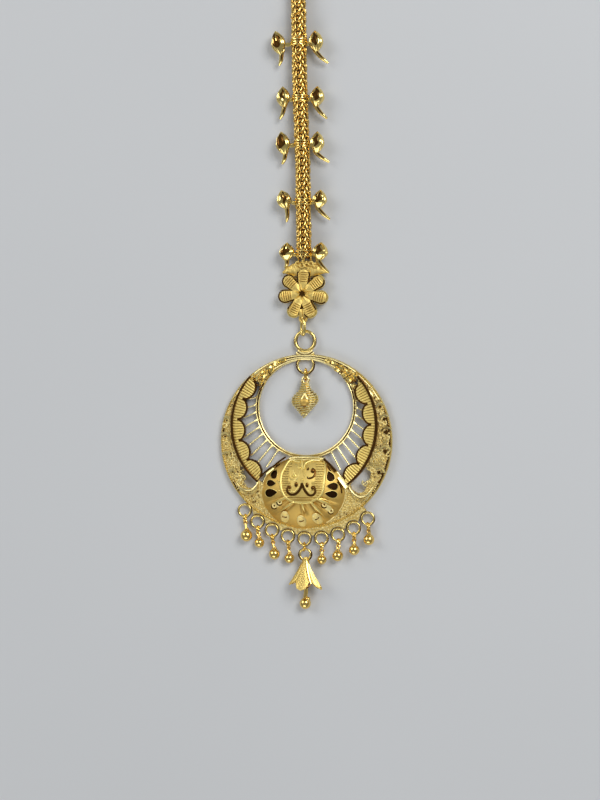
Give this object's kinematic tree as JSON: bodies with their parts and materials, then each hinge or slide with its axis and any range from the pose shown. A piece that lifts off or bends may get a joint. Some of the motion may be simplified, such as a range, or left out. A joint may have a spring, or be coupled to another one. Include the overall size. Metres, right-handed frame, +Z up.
{
  "type": "maang tikka",
  "caption": "Gold forehead jewel lying flat: crescent pendant with domed medallion, fringe of ball drops and bell, flower link and leafed chain with hair hook.",
  "frame": {"origin": "bottom centre of the jewel's box, on the surface that it lies on, midway along its length", "axes": "+Y runs up the chain to the hair hook, +X to the right across the crescent as seen from above, +Z up from the surface through the face of the pendant"},
  "size_m": [0.0348, 0.1478, 0.0043],
  "materials": {
    "polished_gold": "polished",
    "chased_gold": "chased and sandblasted with polished edges",
    "engraved_gold": "engraved",
    "woven_chain": "polished links"
  },
  "bodies": {
    "root": {"ball_drop_1": "polished_gold", "ball_drop_2": "polished_gold", "ball_drop_3": "polished_gold", "ball_drop_4": "polished_gold", "ball_drop_5": "polished_gold", "ball_drop_6": "polished_gold", "ball_drop_7": "polished_gold", "ball_drop_8": "polished_gold", "bell_clapper": "polished_gold", "bell_flower": "engraved_gold", "bell_link": "polished_gold", "centre_drop": "engraved_gold", "centre_link": "polished_gold", "chain": "woven_chain", "crescent": "chased_gold", "drop_link_1": "polished_gold", "drop_link_2": "polished_gold", "drop_link_3": "polished_gold", "drop_link_4": "polished_gold", "drop_link_5": "polished_gold", "drop_link_6": "polished_gold", "drop_link_7": "polished_gold", "drop_link_8": "polished_gold", "flower": "engraved_gold", "flower_link": "polished_gold", "hair_hook": "polished_gold", "hook_ring": "polished_gold", "leaf_pair_1": "polished_gold", "leaf_pair_2": "polished_gold", "leaf_pair_3": "polished_gold", "leaf_pair_4": "polished_gold", "leaf_pair_5": "polished_gold"}
  },
  "joints": []
}
